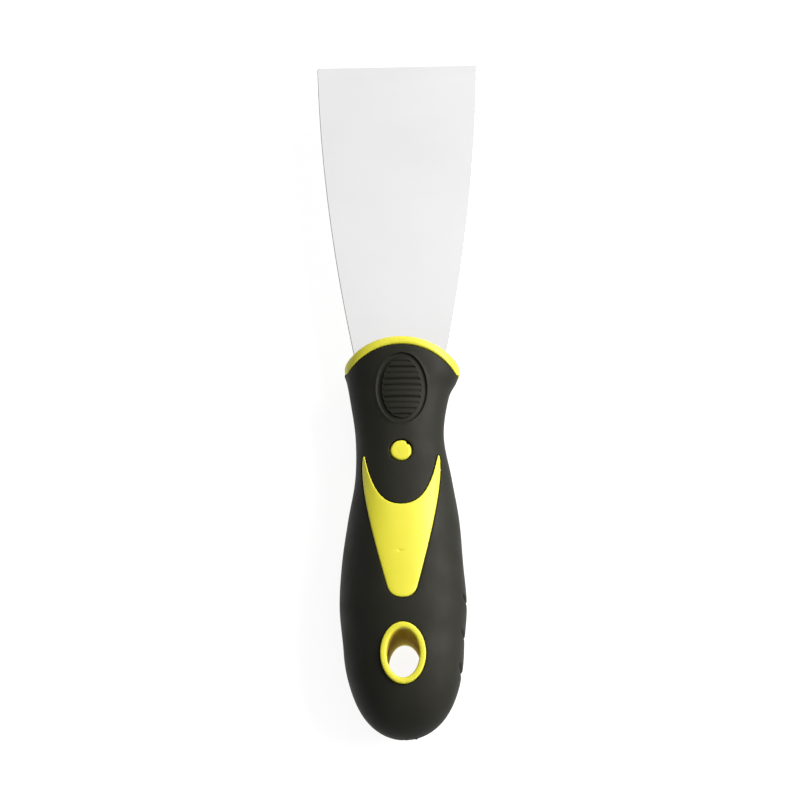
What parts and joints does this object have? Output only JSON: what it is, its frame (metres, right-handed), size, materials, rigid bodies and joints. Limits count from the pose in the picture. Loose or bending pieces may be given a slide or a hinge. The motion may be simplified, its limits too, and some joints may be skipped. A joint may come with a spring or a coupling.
{
  "type": "putty knife",
  "caption": "Flat flared steel blade with a straight edge, fixed in a waisted soft-grip handle with a domed collar and an oval hang hole through the butt.",
  "frame": {"origin": "middle of the overall length and width, at the height of the lowest point of the handle's rear face", "axes": "+X across the blade, +Y along the handle towards the blade's working edge, +Z out of the front face"},
  "size_m": [0.05, 0.2116, 0.0272],
  "materials": {
    "blade_steel": "polished spring steel with a fine grain",
    "rivet_steel": "plain zinc-coated steel",
    "core_plastic": "satin moulded polypropylene",
    "grip_rubber": "matt moulded thermoplastic rubber"
  },
  "bodies": {
    "root": {"blade": "blade_steel", "core_front": "core_plastic", "core_rear": "core_plastic", "tang_rivet_upper": "rivet_steel", "tang_rivet_lower": "rivet_steel", "rivet_plug_front": "core_plastic", "rivet_plug_rear": "core_plastic", "grip": "grip_rubber"}
  },
  "joints": []
}
